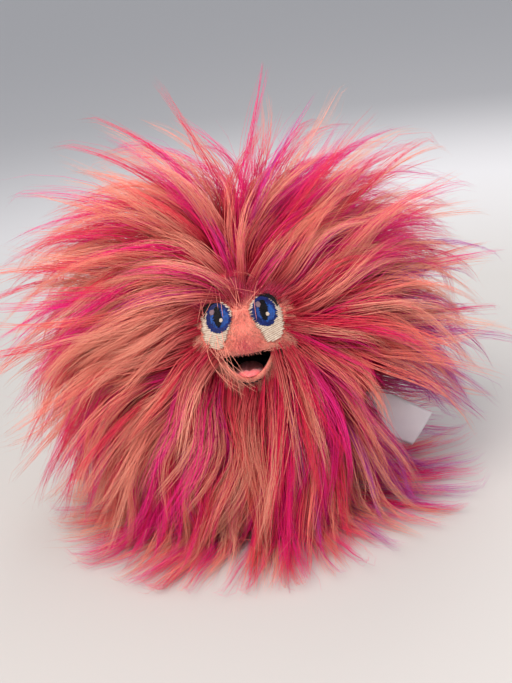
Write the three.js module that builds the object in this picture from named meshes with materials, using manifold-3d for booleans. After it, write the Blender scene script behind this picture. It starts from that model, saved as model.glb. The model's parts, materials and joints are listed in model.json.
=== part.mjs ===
// A shaggy ball-shaped hand puppet with an embroidered face and a moving mouth.
// Millimetres. +Z is up, the face looks along -Y, and the puppet stands on the floor at z = 0
// with the middle of its bounding box over the origin. Left is -X and right is +X.
import * as THREE from 'three';
import { mergeVertices } from 'three/addons/utils/BufferGeometryUtils.js';
import Module from 'manifold-3d';

const wasm = await Module();
wasm.setup();

// ---- driving dimensions ----

const gap = 0.3; // air between pieces that touch
const ball = { centreZ: 118, coreRadius: 95, pileRadius: 146, reach: 188 };
const furLock = { shortest: 44, longest: 64, hollow: 8, droop: 0.15 };
const hinge = { y: -38, z: 122 }; // the fold of the mouth, along X
const face = { radius: 70, thickness: 2.6, halfWidth: 44, bottomAngle: 21, topAngle: 84 };
const frontStrip = { halfWidth: 47.2, jawTopAngle: -42, browAngle: 80 };
const seam = { y: -12, allowance: 0.3 }; // the seam between the front and back halves of the skin
const undersideTop = 58; // the back panels end here, and the underside panels start
const mouth = { upperAngle: 23, lowerAngle: 3, length: 58, halfWidth: 36, back: 6 };
const lining = { thickness: 1, overhang: 0.8 };
const board = { thickness: 1.6 };
const pocketWall = 1.6;
const tongue = { halfWidth: 10, length: 60, back: 25, thickness: 1.8 };
const fingerPocket = { halfWidth: 36, length: 54, height: 30 };
const thumbPocket = { halfWidth: 20, length: 48, height: 25 };
const jawOpening = 30; // degrees the lower jaw drops from rest
const faceLift = 12; // degrees the face lifts from rest
const swingRoom = 2.5; // room left round the pieces that turn about the mouth's fold
const turnRoom = 2; // degrees left beyond the end of each swing
const lowestTurn = -80; // the swings below the mouth are cleared down to this angle
const pocketLean = { from: 60, to: 125, room: 10 }; // where the finger pocket's open end leans back
const nose = { halfWidth: 6.5, halfHeight: 7, thickness: 6, angle: 28 };
const eye = { sideways: 15.3, lift: 0.4 }; // each layer of the eye lies on the one below
const eyeWhite = { halfWidth: 10.8, halfHeight: 16, thickness: 0.9, outward: 1.6, angle: 36.5 };
const iris = { halfWidth: 9.1, halfHeight: 10.8, thickness: 0.6, lift: 1.6, angle: 41.5 };
const pupil = { halfWidth: 3.1, halfHeight: 5.4, thickness: 0.5, lift: 2.5 };
const highlight = { radius: 1.3, thickness: 0.4, lift: 3.3, sideways: 1.7, drop: 2.2 };
const lidLine = { halfSpan: 10.2, rise: 6, weight: 1.9, thickness: 0.5, lift: 1.5, above: 8.8 };
const lip = { outer: 69.5, inner: 61.2, topAngle: 5, bottomAngle: -7.7, halfWidth: 38 };
const chin = { outer: 85, inner: 61.2, topAngle: -8.3, bottomAngle: -38, halfWidth: 44.5 };
const sleeve = { y: 11, radius: 46, wall: 1.6, bottom: 0.6, shoulder: 158, domeHeight: 14 };
const sleeveWindow = { halfWidth: 38, bottom: 80, top: 162 };
const cuff = { thickness: 4.4, height: 24 };
const label = { width: 30, length: 56, thickness: 1.6, dropAngle: 36, swing: 30 };
const labelRoom = { before: -3, beyond: 4, longer: 60, wider: 5, root: 1, rootTop: 2.5, rootBottom: -2 };

// ---- solids: joining and cutting ----

function solidFrom(geometry) {
  const bare = geometry.clone();
  bare.deleteAttribute('normal');
  bare.deleteAttribute('uv');
  const merged = mergeVertices(bare, 1e-4);
  const mesh = new wasm.Mesh({
    numProp: 3,
    vertProperties: new Float32Array(merged.attributes.position.array),
    triVerts: new Uint32Array(merged.index.array),
  });
  return new wasm.Manifold(mesh);
}

function geometryFrom(solid) {
  const mesh = solid.getMesh();
  const geometry = new THREE.BufferGeometry();
  geometry.setAttribute('position', new THREE.BufferAttribute(mesh.vertProperties, 3));
  geometry.setIndex(new THREE.BufferAttribute(mesh.triVerts, 1));
  const flat = geometry.toNonIndexed();
  flat.computeVertexNormals();
  return flat;
}

// A box from its lowest to its highest corner.
function block(low, high) {
  const size = high.map((value, axis) => value - low[axis]);
  const geometry = new THREE.BoxGeometry(...size);
  geometry.translate(...high.map((value, axis) => (value + low[axis]) / 2));
  return solidFrom(geometry);
}

function sphereAt(centre, radius) {
  const geometry = new THREE.SphereGeometry(radius, 36, 18);
  geometry.rotateX(Math.PI / 2);
  geometry.translate(...centre);
  return solidFrom(geometry);
}

const coreSphere = (radius) => sphereAt([0, 0, ball.centreZ], radius);
const hingeSphere = (radius) => sphereAt([0, hinge.y, hinge.z], radius);

// A wedge about the mouth's fold, between two angles measured up from straight ahead.
function wedge(fromAngle, toAngle, radius, halfWidth) {
  const outline = new THREE.Shape();
  const [from, to] = [fromAngle, toAngle].map(THREE.MathUtils.degToRad);
  outline.absarc(0, 0, radius, from, to, false);
  outline.lineTo(0, 0);
  const geometry = new THREE.ExtrudeGeometry(outline, {
    depth: 2 * halfWidth, bevelEnabled: false, curveSegments: 12,
  });
  geometry.translate(0, 0, -halfWidth);
  const forward = new THREE.Vector3(0, -1, 0);
  const up = new THREE.Vector3(0, 0, 1);
  const across = new THREE.Vector3(-1, 0, 0);
  geometry.applyMatrix4(new THREE.Matrix4().makeBasis(forward, up, across));
  geometry.translate(0, hinge.y, hinge.z);
  return solidFrom(geometry);
}

function uprightCylinder(radius, bottom, top) {
  const geometry = new THREE.CylinderGeometry(radius, radius, top - bottom, 36);
  geometry.rotateX(Math.PI / 2);
  geometry.translate(0, sleeve.y, (top + bottom) / 2);
  return solidFrom(geometry);
}

// ---- materials and nodes ----

const puppet = new THREE.Group();
const upperJaw = new THREE.Group();
const lowerJaw = new THREE.Group();
upperJaw.position.set(0, hinge.y, hinge.z);
upperJaw.rotation.x = -THREE.MathUtils.degToRad(mouth.upperAngle);
lowerJaw.position.set(0, hinge.y, hinge.z);
lowerJaw.rotation.x = -THREE.MathUtils.degToRad(mouth.lowerAngle);
puppet.add(upperJaw, lowerJaw);

function addPiece(parent, name, shape, colour, roughness) {
  const geometry = shape.isBufferGeometry ? shape : geometryFrom(shape);
  const material = new THREE.MeshStandardMaterial({ color: colour, roughness, metalness: 0 });
  const mesh = new THREE.Mesh(geometry, material);
  mesh.name = name;
  parent.add(mesh);
  return mesh;
}

const colours = {
  peachFur: 0xe28c74, pinkFur: 0xe0407f, coralFur: 0xd9586a, plush: 0xf0a58c, stuffing: 0xf2efe8,
  lining: 0x1c1618, board: 0x8a7a66, tongue: 0xe2506a, eyeWhite: 0xf3ece0, iris: 0x1f3fa8,
  pupil: 0x0b0b10, highlight: 0xffffff, sleeve: 0xb04468, cuff: 0xc23a70, label: 0xf4f2ee,
};

// ---- the fur skin ----

// The outer surface of the fur: a ball of pile with a pointed lock at every second row and
// column. The locks droop a little, and the longest ones end on the reach.
function furBall() {
  const around = 40;
  const rings = 22;
  const geometry = new THREE.SphereGeometry(1, around, rings);
  geometry.rotateX(Math.PI / 2);
  const position = geometry.attributes.position;
  const point = new THREE.Vector3();
  for (let index = 0; index < position.count; index += 1) {
    point.fromBufferAttribute(position, index);
    const column = Math.round((Math.atan2(point.y, point.x) / (2 * Math.PI)) * around);
    const row = Math.round((Math.acos(THREE.MathUtils.clamp(point.z, -1, 1)) / Math.PI) * rings);
    const isTip = column % 2 === 0 && row % 2 === 0 && row > 0 && row < rings;
    const wave = 0.5 + 0.5 * Math.cos(3 * row) * Math.cos((4 * Math.PI * column) / around);
    const lock = isTip ? THREE.MathUtils.lerp(furLock.shortest, furLock.longest, wave) : 0;
    point.multiplyScalar(ball.pileRadius - furLock.hollow * wave + lock);
    point.z += ball.centreZ - furLock.droop * lock;
    point.x = THREE.MathUtils.clamp(point.x, -ball.reach, ball.reach);
    point.y = THREE.MathUtils.clamp(point.y, -ball.reach, ball.reach);
    position.setXYZ(index, point.x, point.y, point.z);
  }
  return solidFrom(geometry);
}

const far = 300;
const aboveFloor = block([-far, -far, 0], [far, far, 2 * far]);
const sleeveHole = uprightCylinder(sleeve.radius + cuff.thickness + 2 * gap, -1, 60);

const furShell = furBall()
  .intersect(aboveFloor)
  .subtract(coreSphere(ball.coreRadius + gap))
  .subtract(sleeveHole);

// Everything that the face and the lips pass through as they turn about the mouth's fold, and
// the smaller turn of the finger pocket, whose open end leans back over the fold.
const swingHalfWidth = frontStrip.halfWidth + gap;
const pocketSwing = hingeSphere(fingerPocket.height + pocketLean.room)
  .intersect(wedge(pocketLean.from, pocketLean.to, 2 * face.radius, swingHalfWidth));
const highestTurn = face.topAngle + faceLift + turnRoom;
const faceSwing = hingeSphere(face.radius + swingRoom)
  .intersect(wedge(lowestTurn, highestTurn, 2 * face.radius, swingHalfWidth))
  .add(pocketSwing);
const chinSwing = hingeSphere(chin.outer + swingRoom)
  .intersect(wedge(chin.bottomAngle - jawOpening - turnRoom, 0, far, far));

// The label's hinge is on the side seam. Its own axes are: along the label, out of its flat
// side towards the front, and along the seam.
const labelDrop = THREE.MathUtils.degToRad(label.dropAngle);
const labelAlong = new THREE.Vector3(Math.cos(labelDrop), 0, -Math.sin(labelDrop));
const labelForward = new THREE.Vector3(0, -1, 0);
const labelSeam = new THREE.Vector3().crossVectors(labelAlong, labelForward);
const labelFrame = new THREE.Matrix4()
  .makeBasis(labelAlong, labelForward, labelSeam)
  .setPosition(labelAlong.clone().multiplyScalar(ball.coreRadius + 1.5)
    .add(new THREE.Vector3(0, seam.y, ball.centreZ)));

// The room that the label turns through, and a slot at the seam for its root.
function labelSwing() {
  const outline = new THREE.Shape();
  const { before, beyond, longer, wider, root, rootTop, rootBottom } = labelRoom;
  const [from, to] = [before, label.swing + beyond].map(THREE.MathUtils.degToRad);
  outline.absarc(0, 0, label.length + longer, from, to, false);
  outline.lineTo(-root, rootTop);
  outline.lineTo(-root, rootBottom);
  const depth = label.width + wider;
  const geometry = new THREE.ExtrudeGeometry(outline, { depth, bevelEnabled: false, curveSegments: 8 });
  geometry.translate(0, 0, -depth / 2);
  geometry.applyMatrix4(labelFrame);
  return solidFrom(geometry);
}

function addFurPanels() {
  const edge = frontStrip.halfWidth;
  const front = seam.y - seam.allowance;
  const back = seam.y + seam.allowance;
  const room = labelSwing();
  const top = wedge(frontStrip.browAngle, frontStrip.browAngle + 100, far, edge);
  const bottom = wedge(frontStrip.jawTopAngle - 100, frontStrip.jawTopAngle, far, edge);
  const frontLeft = block([-far, -far, -1], [-edge - 2 * gap, front, far]);
  const frontRight = block([edge + 2 * gap, -far, -1], [far, front, far]);
  const strip = block([-edge, -far, -1], [edge, front, far]);
  const above = undersideTop + gap;
  const backLeft = block([-far, back, above], [-seam.allowance, far, far]);
  const backRight = block([seam.allowance, back, above], [far, far, far]);
  const underLeft = block([-far, back, -1], [-seam.allowance, far, undersideTop]);
  const underRight = block([seam.allowance, back, -1], [far, far, undersideTop]);
  const { peachFur, pinkFur, coralFur } = colours;
  addPiece(puppet, 'fur_front_left', furShell.intersect(frontLeft), peachFur, 0.9);
  addPiece(puppet, 'fur_front_right', furShell.intersect(frontRight).subtract(room), coralFur, 0.9);
  addPiece(puppet, 'fur_back_left', furShell.intersect(backLeft), coralFur, 0.9);
  addPiece(puppet, 'fur_back_right', furShell.intersect(backRight).subtract(room), pinkFur, 0.9);
  addPiece(puppet, 'fur_underside_left', furShell.intersect(underLeft), coralFur, 0.9);
  addPiece(puppet, 'fur_underside_right', furShell.intersect(underRight).subtract(room), pinkFur, 0.9);
  const crown = furShell.intersect(strip).intersect(top).subtract(faceSwing);
  addPiece(puppet, 'fur_crown', crown, pinkFur, 0.9);
  const bib = furShell.intersect(strip).intersect(bottom).subtract(chinSwing);
  addPiece(puppet, 'fur_bib', bib, peachFur, 0.9);
}

// ---- stuffing between the skin and the sleeve ----

function addStuffing() {
  const core = coreSphere(ball.coreRadius - gap);
  const edge = frontStrip.halfWidth - gap;
  const side = edge + 3 * gap;
  const sleeveTop = sleeve.shoulder + sleeve.domeHeight;
  const aroundSleeve = uprightCylinder(sleeve.radius + gap, -1, sleeveTop + gap);
  const split = sleeve.shoulder - 8;
  const crownBlock = block([-edge, -far, split + gap], [edge, far, far]);
  const backBlock = block([-edge, sleeve.y + 1, 0], [edge, far, split]);
  const leftBlock = block([-far, -far, 0], [-side, far, far]);
  const rightBlock = block([side, -far, 0], [far, far, far]);
  const crown = core.intersect(crownBlock).subtract(aroundSleeve).subtract(faceSwing);
  const back = core.intersect(backBlock).subtract(aroundSleeve);
  addPiece(puppet, 'stuffing_crown', crown, colours.stuffing, 0.95);
  addPiece(puppet, 'stuffing_back', back, colours.stuffing, 0.95);
  addPiece(puppet, 'stuffing_left', core.intersect(leftBlock), colours.stuffing, 0.95);
  addPiece(puppet, 'stuffing_right', core.intersect(rightBlock), colours.stuffing, 0.95);
}

// ---- the sleeve that the arm goes into, and its cuff ----

function sleeveTube() {
  const inner = sleeve.radius - sleeve.wall;
  const crownHeight = sleeve.shoulder + sleeve.domeHeight;
  const outerDome = new THREE.EllipseCurve(0, sleeve.shoulder, sleeve.radius, sleeve.domeHeight,
    0, Math.PI / 2);
  const innerDome = new THREE.EllipseCurve(0, sleeve.shoulder, inner, sleeve.domeHeight - sleeve.wall,
    Math.PI / 2, 0, true);
  const profile = [
    new THREE.Vector2(inner, sleeve.bottom),
    new THREE.Vector2(sleeve.radius, sleeve.bottom),
    ...outerDome.getPoints(6).slice(0, -1),
    new THREE.Vector2(0, crownHeight),
    new THREE.Vector2(0, crownHeight - sleeve.wall),
    ...innerDome.getPoints(6).slice(1),
    new THREE.Vector2(inner, sleeve.bottom),
  ];
  const geometry = new THREE.LatheGeometry(profile, 36);
  geometry.rotateX(Math.PI / 2);
  geometry.translate(0, sleeve.y, 0);
  return solidFrom(geometry);
}

function addSleeve() {
  const { halfWidth, bottom, top } = sleeveWindow;
  const handWindow = block([-halfWidth, -far, bottom], [halfWidth, sleeve.y - 20, top]);
  addPiece(puppet, 'hand_sleeve', sleeveTube().subtract(handWindow), colours.sleeve, 0.85);
  const bore = sleeve.radius + gap;
  const ring = uprightCylinder(bore + cuff.thickness, 0, cuff.height)
    .subtract(uprightCylinder(bore, -1, cuff.height + 1));
  addPiece(puppet, 'cuff_hem', ring, colours.cuff, 0.85);
}

// ---- the mouth: plates, linings, pockets, fold and tongue ----

// A mouth half seen from above: straight at the fold, half an ellipse at the lips.
function mouthOutline(halfWidth, length, back) {
  const outline = new THREE.Shape();
  outline.moveTo(halfWidth, -back);
  outline.lineTo(halfWidth, -back - 2);
  outline.absellipse(0, -back - 2, halfWidth, length - back - 2, 0, -Math.PI, true);
  outline.lineTo(-halfWidth, -back);
  return outline;
}

function sheetFrom(outline, bottom, thickness) {
  const geometry = new THREE.ExtrudeGeometry(outline, {
    depth: thickness, bevelEnabled: false, curveSegments: 20,
  });
  geometry.translate(0, 0, bottom);
  return geometry;
}

// A fabric pocket on a mouth plate: half of a hollow ellipsoid, open at the back and against
// the plate. Direction is 1 above the plate and -1 below it.
function pocket({ halfWidth, length, height }, direction) {
  const base = board.thickness + lining.thickness + 3 * gap;
  function shellLayer(inset) {
    const geometry = new THREE.SphereGeometry(1, 32, 20);
    geometry.rotateX(Math.PI / 2);
    geometry.scale(halfWidth - inset, length - inset, height - inset);
    geometry.translate(0, -mouth.back, direction * base);
    return solidFrom(geometry);
  }
  const heights = direction > 0 ? [base, far] : [-far, -base];
  const room = block([-far, -far, heights[0]], [far, -mouth.back - 2, heights[1]]);
  return shellLayer(0).subtract(shellLayer(pocketWall)).intersect(room);
}

function addMouth() {
  const liningWidth = mouth.halfWidth + lining.overhang;
  const liningLength = mouth.length + lining.overhang;
  const liningShape = mouthOutline(liningWidth, liningLength, 4);
  const boardShape = mouthOutline(mouth.halfWidth, mouth.length, mouth.back);
  const boardBase = lining.thickness + 2 * gap;
  const upperLining = sheetFrom(liningShape, gap, lining.thickness);
  const lowerLining = sheetFrom(liningShape, -gap - lining.thickness, lining.thickness);
  const upperBoard = sheetFrom(boardShape, boardBase, board.thickness);
  const lowerBoard = sheetFrom(boardShape, -boardBase - board.thickness, board.thickness);
  addPiece(upperJaw, 'upper_mouth_lining', upperLining, colours.lining, 0.9);
  addPiece(upperJaw, 'upper_mouth_plate', upperBoard, colours.board, 0.8);
  addPiece(upperJaw, 'finger_pocket', pocket(fingerPocket, 1), colours.sleeve, 0.85);
  addPiece(lowerJaw, 'lower_mouth_lining', lowerLining, colours.lining, 0.9);
  addPiece(lowerJaw, 'lower_mouth_plate', lowerBoard, colours.board, 0.8);
  addPiece(lowerJaw, 'thumb_pocket', pocket(thumbPocket, -1), colours.sleeve, 0.85);
  const tongueShape = mouthOutline(tongue.halfWidth, tongue.length, tongue.back);
  addPiece(lowerJaw, 'tongue', sheetFrom(tongueShape, gap, tongue.thickness), colours.tongue, 0.8);
  const fold = new THREE.CylinderGeometry(2.4, 2.4, 2 * mouth.halfWidth, 16);
  fold.rotateZ(Math.PI / 2);
  fold.translate(0, hinge.y, hinge.z);
  addPiece(puppet, 'mouth_fold', fold, colours.lining, 0.9);
}

// ---- the face ----

// Part of a round shell about the mouth's fold, between two angles and two radii.
function roundShell(inner, outer, fromAngle, toAngle, halfWidth) {
  return hingeSphere(outer)
    .subtract(hingeSphere(inner))
    .intersect(wedge(fromAngle, toAngle, 2 * outer, halfWidth));
}

// A padded patch, flat below and crowned above, one unit in radius and in height.
function paddedDisc() {
  const profile = [[0, 0], [0.5, 0], [1, 0], [1, 0.55], [0.7, 0.85], [0.35, 1], [0, 1]];
  const geometry = new THREE.LatheGeometry(profile.map((p) => new THREE.Vector2(...p)), 20);
  geometry.rotateX(Math.PI / 2);
  return geometry;
}

// Lays a patch, drawn flat with its up along +Y and its thickness along +Z, on the round face
// at a sideways place and an angle, lifted off the surface.
function layOnFace(geometry, sideways, angle, lift) {
  const position = geometry.attributes.position;
  for (let index = 0; index < position.count; index += 1) {
    const x = sideways + position.getX(index);
    const turn = THREE.MathUtils.degToRad(angle) + position.getY(index) / face.radius;
    const reach = Math.sqrt(face.radius ** 2 - x ** 2) + lift + position.getZ(index);
    position.setXYZ(index, x, hinge.y - reach * Math.cos(turn), hinge.z + reach * Math.sin(turn));
  }
  geometry.computeVertexNormals();
  return geometry;
}

function facePad(halfWidth, halfHeight, thickness, sideways, angle, lift) {
  const geometry = paddedDisc();
  geometry.scale(halfWidth, halfHeight, thickness);
  return layOnFace(geometry, sideways, angle, lift);
}

// A crescent with pointed ends over the top of an iris.
function lidCrescent(x) {
  const { halfSpan, rise, weight, thickness, lift, above } = lidLine;
  const outline = new THREE.Shape();
  outline.moveTo(-halfSpan, 0);
  outline.quadraticCurveTo(0, 2 * rise, halfSpan, 0);
  outline.quadraticCurveTo(0, 2 * (rise - weight), -halfSpan, 0);
  const geometry = new THREE.ExtrudeGeometry(outline, {
    depth: thickness, bevelEnabled: false, curveSegments: 14,
  });
  return layOnFace(geometry, x, iris.angle + above, lift);
}

function addEye(name, side) {
  const x = side * eye.sideways;
  const white = facePad(eyeWhite.halfWidth, eyeWhite.halfHeight, eyeWhite.thickness,
    x + side * eyeWhite.outward, eyeWhite.angle, eye.lift);
  const ring = facePad(iris.halfWidth, iris.halfHeight, iris.thickness, x, iris.angle, iris.lift);
  const dot = facePad(pupil.halfWidth, pupil.halfHeight, pupil.thickness, x, iris.angle, pupil.lift);
  const spark = facePad(highlight.radius, highlight.radius, highlight.thickness,
    x + highlight.sideways, iris.angle - highlight.drop, highlight.lift);
  addPiece(puppet, `eye_white_${name}`, white, colours.eyeWhite, 0.55);
  addPiece(puppet, `iris_${name}`, ring, colours.iris, 0.5);
  addPiece(puppet, `pupil_${name}`, dot, colours.pupil, 0.5);
  addPiece(puppet, `highlight_${name}`, spark, colours.highlight, 0.5);
  addPiece(puppet, `lid_line_${name}`, lidCrescent(x), colours.pupil, 0.6);
}

function addFace() {
  const panel = roundShell(face.radius - face.thickness, face.radius,
    face.bottomAngle, face.topAngle, face.halfWidth);
  addPiece(puppet, 'face_panel', panel, colours.plush, 0.9);
  const bump = facePad(nose.halfWidth, nose.halfHeight, nose.thickness, 0, nose.angle, eye.lift);
  addPiece(puppet, 'nose', bump, colours.plush, 0.9);
  const lipShell = roundShell(lip.inner, lip.outer, lip.bottomAngle, lip.topAngle, lip.halfWidth);
  addPiece(puppet, 'lower_lip', lipShell, colours.plush, 0.9);
  const chinShell = roundShell(chin.inner, chin.outer, chin.bottomAngle, chin.topAngle, chin.halfWidth);
  addPiece(puppet, 'chin_fur', chinShell, colours.coralFur, 0.9);
  addEye('left', -1);
  addEye('right', 1);
}

// ---- the care label: one ribbon folded into a flat loop ----

function addLabel() {
  const start = 2;
  const end = label.length;
  const half = label.thickness / 2;
  const inner = gap;
  const outline = new THREE.Shape();
  outline.moveTo(start, -half);
  outline.lineTo(end - half, -half);
  outline.absarc(end - half, 0, half, -Math.PI / 2, Math.PI / 2, false);
  outline.lineTo(start, half);
  outline.lineTo(start, inner);
  outline.lineTo(end - half, inner);
  outline.lineTo(end - half, -inner);
  outline.lineTo(start, -inner);
  const geometry = new THREE.ExtrudeGeometry(outline, {
    depth: label.width, bevelEnabled: false, curveSegments: 6,
  });
  geometry.translate(0, 0, -label.width / 2);
  geometry.applyMatrix4(labelFrame);
  addPiece(puppet, 'care_label', geometry, colours.label, 0.5);
}

addFurPanels();
addStuffing();
addSleeve();
addMouth();
addFace();
addLabel();

export default puppet;
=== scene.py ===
"""A shaggy moving mouth puppet: fur, embroidered face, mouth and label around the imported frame."""
import json
import math

import bmesh
import bpy
import numpy as np
from mathutils import Matrix, Vector


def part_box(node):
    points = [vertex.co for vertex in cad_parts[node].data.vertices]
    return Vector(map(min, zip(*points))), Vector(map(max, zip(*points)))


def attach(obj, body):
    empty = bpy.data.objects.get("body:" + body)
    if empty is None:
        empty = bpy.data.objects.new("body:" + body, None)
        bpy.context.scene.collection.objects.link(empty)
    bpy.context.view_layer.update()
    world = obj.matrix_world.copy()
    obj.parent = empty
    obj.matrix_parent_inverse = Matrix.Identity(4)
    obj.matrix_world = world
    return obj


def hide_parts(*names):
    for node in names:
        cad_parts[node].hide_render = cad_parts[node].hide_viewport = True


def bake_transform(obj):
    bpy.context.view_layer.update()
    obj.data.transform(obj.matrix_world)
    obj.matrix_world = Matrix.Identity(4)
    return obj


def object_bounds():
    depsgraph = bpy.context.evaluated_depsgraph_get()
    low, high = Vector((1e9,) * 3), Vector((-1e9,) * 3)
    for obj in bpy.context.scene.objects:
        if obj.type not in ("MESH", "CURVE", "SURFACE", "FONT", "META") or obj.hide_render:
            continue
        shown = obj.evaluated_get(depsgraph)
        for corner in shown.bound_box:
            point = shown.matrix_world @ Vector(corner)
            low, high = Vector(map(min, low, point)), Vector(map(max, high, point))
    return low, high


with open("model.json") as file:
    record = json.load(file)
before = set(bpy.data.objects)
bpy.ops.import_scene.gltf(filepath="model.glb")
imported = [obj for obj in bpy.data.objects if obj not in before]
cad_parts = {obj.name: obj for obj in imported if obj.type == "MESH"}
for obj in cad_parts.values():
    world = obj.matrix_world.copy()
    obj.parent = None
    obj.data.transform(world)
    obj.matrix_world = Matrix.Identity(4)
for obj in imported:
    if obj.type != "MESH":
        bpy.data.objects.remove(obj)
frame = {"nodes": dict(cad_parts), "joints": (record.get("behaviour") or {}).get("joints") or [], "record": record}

cad_low, cad_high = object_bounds()
MM = 0.001
FRONT, UP = np.array([0.0, -1.0, 0.0]), np.array([0.0, 0.0, 1.0])


# ---- sizes and places, from the frame ----

def node_points(name):
    """Every corner of a CAD node at rest."""
    return np.array([vertex.co[:] for vertex in frame["nodes"][name].data.vertices])


joints = {joint["name"]: joint for joint in frame["joints"]}
slots = {part["node"]: part["material_slot"] for part in frame["record"]["subparts"]}
FOLD = np.array(joints["jaw_open"]["pos_m"])  # the fold at the back of the mouth
pad_low, pad_high = (np.array(corner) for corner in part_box("stuffing_left"))
BALL = np.array([0.0, 0.0, (pad_low[2] + pad_high[2]) / 2])
SKIN_RADIUS = np.linalg.norm(node_points("stuffing_left") - BALL, axis=1).max() + 1.6 * MM
FACE_RADIUS = np.linalg.norm(node_points("face_panel") - FOLD, axis=1).max()
PILE_LIMIT = cad_high[0] + 12 * MM  # how far a lock's middle line may go from BALL
STRIP_HALF_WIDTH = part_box("fur_crown")[1][0]
SEAM_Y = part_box("fur_back_left")[0][1]
FACE_TILT = math.radians(25)  # how far up the face looks
FACE_AXIS = FRONT * math.cos(FACE_TILT) + UP * math.sin(FACE_TILT)
FACE_UP = UP * math.cos(FACE_TILT) - FRONT * math.sin(FACE_TILT)
LOOK_ELEVATION = math.radians(20)  # how far down the photograph looks
LOOK_FROM = FRONT * math.cos(LOOK_ELEVATION) + UP * math.sin(LOOK_ELEVATION)


# ---- small helpers ----

def unit(vectors):
    """Vectors brought to length one, row by row."""
    return vectors / np.maximum(np.linalg.norm(vectors, axis=-1, keepdims=True), 1e-12)


def smooth(low, high, value):
    """0 below low, 1 above high, and a smooth rise between them."""
    share = np.clip((value - low) / (high - low), 0, 1)
    return share * share * (3 - 2 * share)


def bell(value, middle, width):
    """1 at the middle, fading to about a third at this width from it."""
    return np.exp(-((value - middle) / width) ** 2)


def fold_angle(points):
    """The angle of points about the mouth's fold, up from straight ahead, in degrees."""
    return np.degrees(np.arctan2(points[..., 2] - FOLD[2], FOLD[1] - points[..., 1]))


def flattened(vectors, normals):
    """Unit vectors with what they had along these unit normals taken away."""
    return unit(vectors - (vectors * normals).sum(-1, keepdims=True) * normals)


def on_sphere(centre, sideways, turn, radius):
    """Points on a sphere: sideways, and a turn in radians up from straight ahead, over the top and
    down the back."""
    reach = np.sqrt(np.maximum(radius ** 2 - sideways ** 2, 0))
    return centre + np.stack([sideways + 0 * turn, -reach * np.cos(turn), reach * np.sin(turn)], -1)


def about_fold(sideways, angle, radius):
    """Points on a sphere about the mouth's fold, at a sideways place and an angle in degrees."""
    return on_sphere(FOLD, sideways, np.radians(angle), radius)


def add_mesh(name, points, quads, triangles=None, uvs=None, cells=None, material=None):
    """A smooth mesh from arrays. uvs and cells hold one pair for each point: what the material
    reads, and the point's own place on a sheet of colour."""
    triangles = np.zeros((0, 3), int) if triangles is None else np.asarray(triangles)
    quads = np.asarray(quads)
    corners = np.concatenate([quads.ravel(), triangles.ravel()]).astype(np.int32)
    counts = np.concatenate([np.full(len(quads), 4), np.full(len(triangles), 3)])
    starts = np.concatenate([[0], np.cumsum(counts)[:-1]]).astype(np.int32)
    mesh = bpy.data.meshes.new(name)
    mesh.vertices.add(len(points))
    mesh.vertices.foreach_set("co", np.asarray(points, np.float32).ravel())
    mesh.loops.add(len(corners))
    mesh.loops.foreach_set("vertex_index", corners)
    mesh.polygons.add(len(counts))
    mesh.polygons.foreach_set("loop_start", starts)
    mesh.update(calc_edges=True)
    mesh.polygons.foreach_set("use_smooth", np.ones(len(counts), bool))
    for layer_name, pairs in (("lock", uvs), ("OFBake", cells)):
        if pairs is not None:
            layer = mesh.uv_layers.new(name=layer_name)
            layer.data.foreach_set("uv", np.asarray(pairs, np.float32)[corners].ravel())
    piece = bpy.data.objects.new(name, mesh)
    bpy.context.scene.collection.objects.link(piece)
    if material is not None:
        mesh.materials.append(material)
    return piece


def place(piece, body, slot, *replaced):
    """Attaches a piece to what it rides on and hides the CAD nodes it stands for. The slot, its finish, is not
    used.
    """
    if replaced:
        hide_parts(*replaced)
    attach(piece, body)
    return piece


def tapered_tubes(paths, radii, rng, sides=3):
    """A closed tube along each path, pointed at its end. paths is (tubes, rings, 3) and radii is
    (tubes, rings - 1). Returns points, quads and triangles."""
    tubes, rings, _ = paths.shape
    bodies = rings - 1
    along = unit(paths[:, 1:] - paths[:, :-1])
    helper = unit(rng.normal(size=(tubes, 1, 3)))
    across = unit(np.cross(along, helper))
    over = np.cross(along, across)
    turn = (np.arange(sides) * 2 * math.pi / sides)[:, None]
    ring = across[:, :, None] * np.cos(turn) + over[:, :, None] * np.sin(turn)
    rim = (paths[:, :-1, None] + ring * radii[:, :, None, None]).reshape(tubes, bodies * sides, 3)
    points = np.concatenate([rim, paths[:, -1:]], axis=1)
    level, side = np.meshgrid(np.arange(bodies - 1), np.arange(sides), indexing="ij")
    beside = (side + 1) % sides
    quad = np.stack([level * sides + side, level * sides + beside,
                     (level + 1) * sides + beside, (level + 1) * sides + side], -1).reshape(-1, 4)
    last = (bodies - 1) * sides
    count = bodies * sides + 1
    tip = [[last + corner, last + (corner + 1) % sides, count - 1] for corner in range(sides)]
    cap = [[0, corner + 1, corner] for corner in range(1, sides - 1)]
    offsets = (np.arange(tubes) * count)[:, None, None]
    quads = (quad[None] + offsets).reshape(-1, 4)
    triangles = (np.array(tip + cap)[None] + offsets).reshape(-1, 3)
    return points.reshape(-1, 3), quads, triangles


def tube_uvs(tones, rings, sides=3):
    """For each point of tapered_tubes: the tube's tone and how far along it is, and its own cell
    on a sheet of colour."""
    along = np.append(np.repeat(np.arange(rings - 1), sides), rings - 1) / (rings - 1)
    across = np.append(np.tile(np.linspace(0.2, 0.8, sides), rings - 1), 0.5)
    columns = math.ceil(math.sqrt(len(tones)))
    row, column = np.divmod(np.arange(len(tones)), columns)
    uvs = np.empty((len(tones), len(along), 2))
    uvs[:, :, 0] = tones[:, None]
    uvs[:, :, 1] = along[None]
    cells = np.empty_like(uvs)
    cells[:, :, 0] = (column[:, None] + across[None]) / columns
    cells[:, :, 1] = (row[:, None] + 0.1 + 0.8 * along[None]) / columns
    return uvs.reshape(-1, 2), cells.reshape(-1, 2)


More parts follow.
